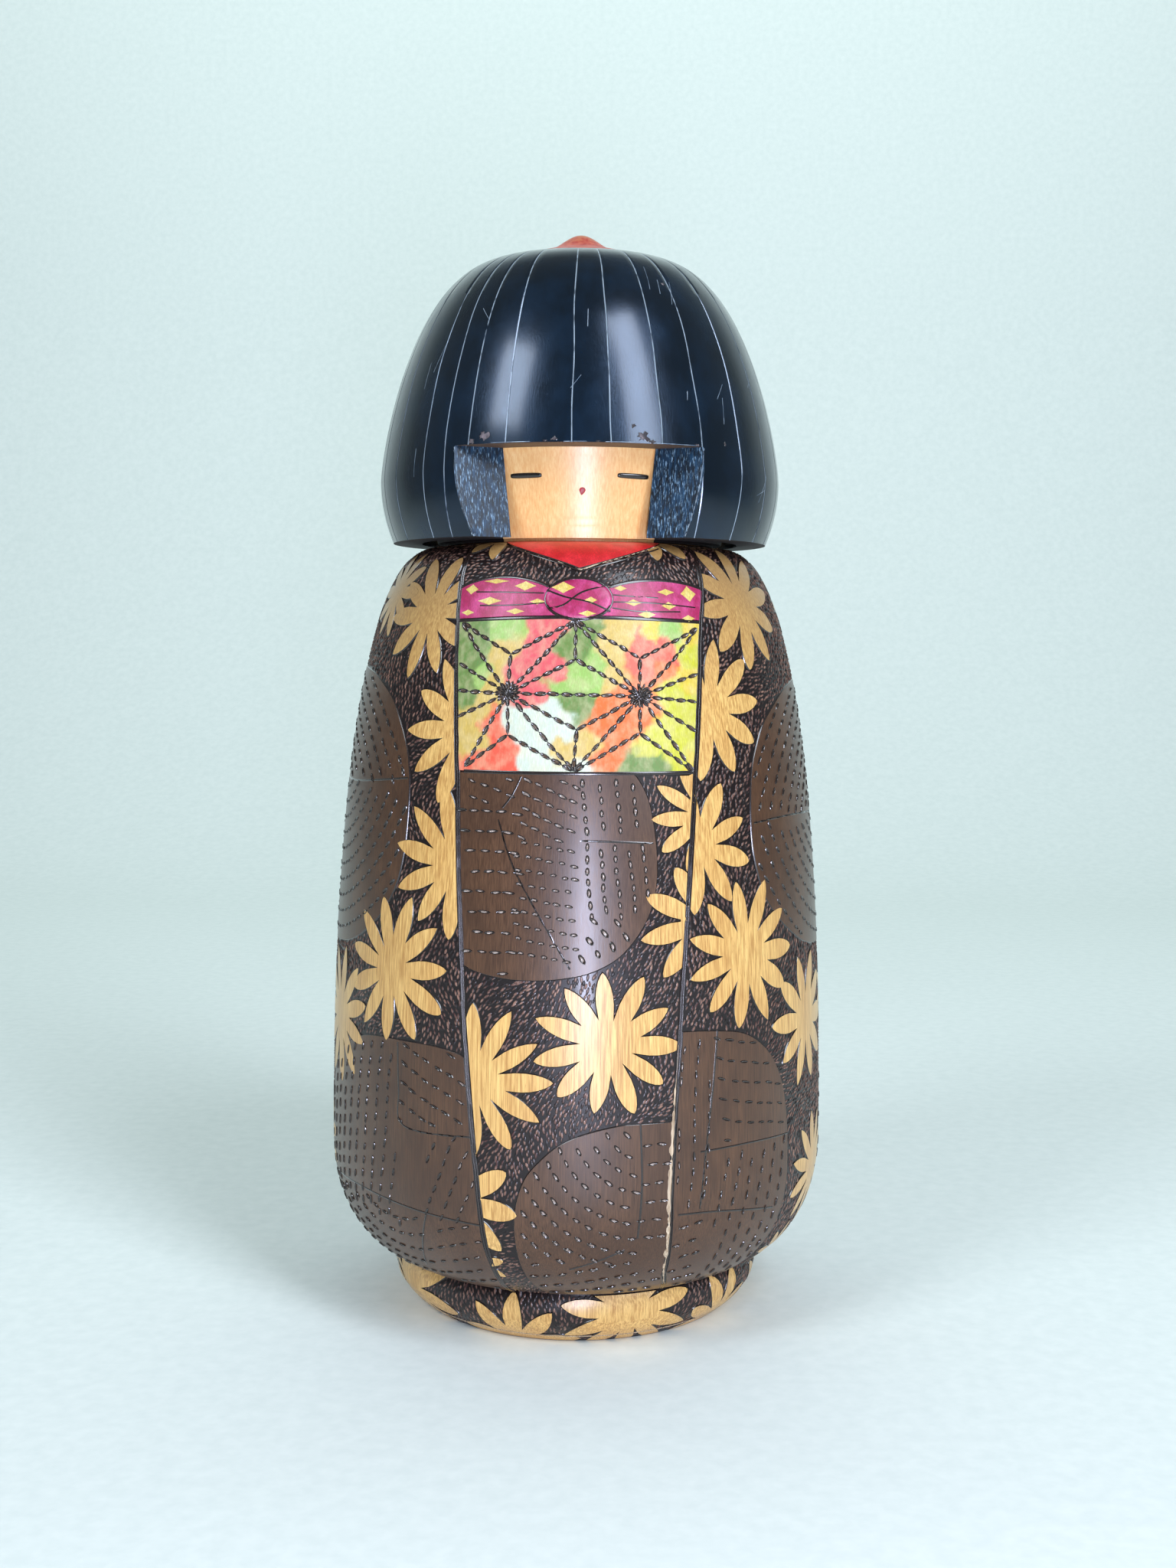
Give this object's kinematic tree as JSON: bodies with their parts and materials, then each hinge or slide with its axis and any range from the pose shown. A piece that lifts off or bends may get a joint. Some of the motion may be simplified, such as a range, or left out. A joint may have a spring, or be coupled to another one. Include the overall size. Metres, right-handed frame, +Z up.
{
  "type": "kokeshi doll",
  "caption": "Large turned wooden doll: a barrel body in a burnt-in kimono pattern, and a head with a black hair bell and bare face that turns and lifts off on a peg.",
  "frame": {"origin": "centre of the foot's underside, on the surface the doll stands on", "axes": "+Z up along the turning axis, -Y the way the face looks, +X to the right seen from the front"},
  "size_m": [0.1676, 0.1676, 0.36],
  "materials": {
    "burnt_wood": "satin, burnt, stained and waxed",
    "beech_dowel": "sanded",
    "waxed_wood": "satin, waxed",
    "black_lacquer": "gloss lacquer",
    "red_stain": "worn satin stain"
  },
  "bodies": {
    "body": {"body": "burnt_wood"},
    "neck": {"neck_peg": "beech_dowel"},
    "head": {"face_core": "waxed_wood", "hair_shell": "black_lacquer", "crown_cap": "red_stain"}
  },
  "joints": [
    {"name": "head_lift", "type": "slide", "parent": "body", "child": "neck", "axis": [0, 0, 1], "range_m": [0, 0.05]},
    {"name": "head_turn", "type": "hinge", "parent": "neck", "child": "head", "pos_m": [0, 0, 0.27], "axis": [0, 0, 1], "continuous": true}
  ]
}
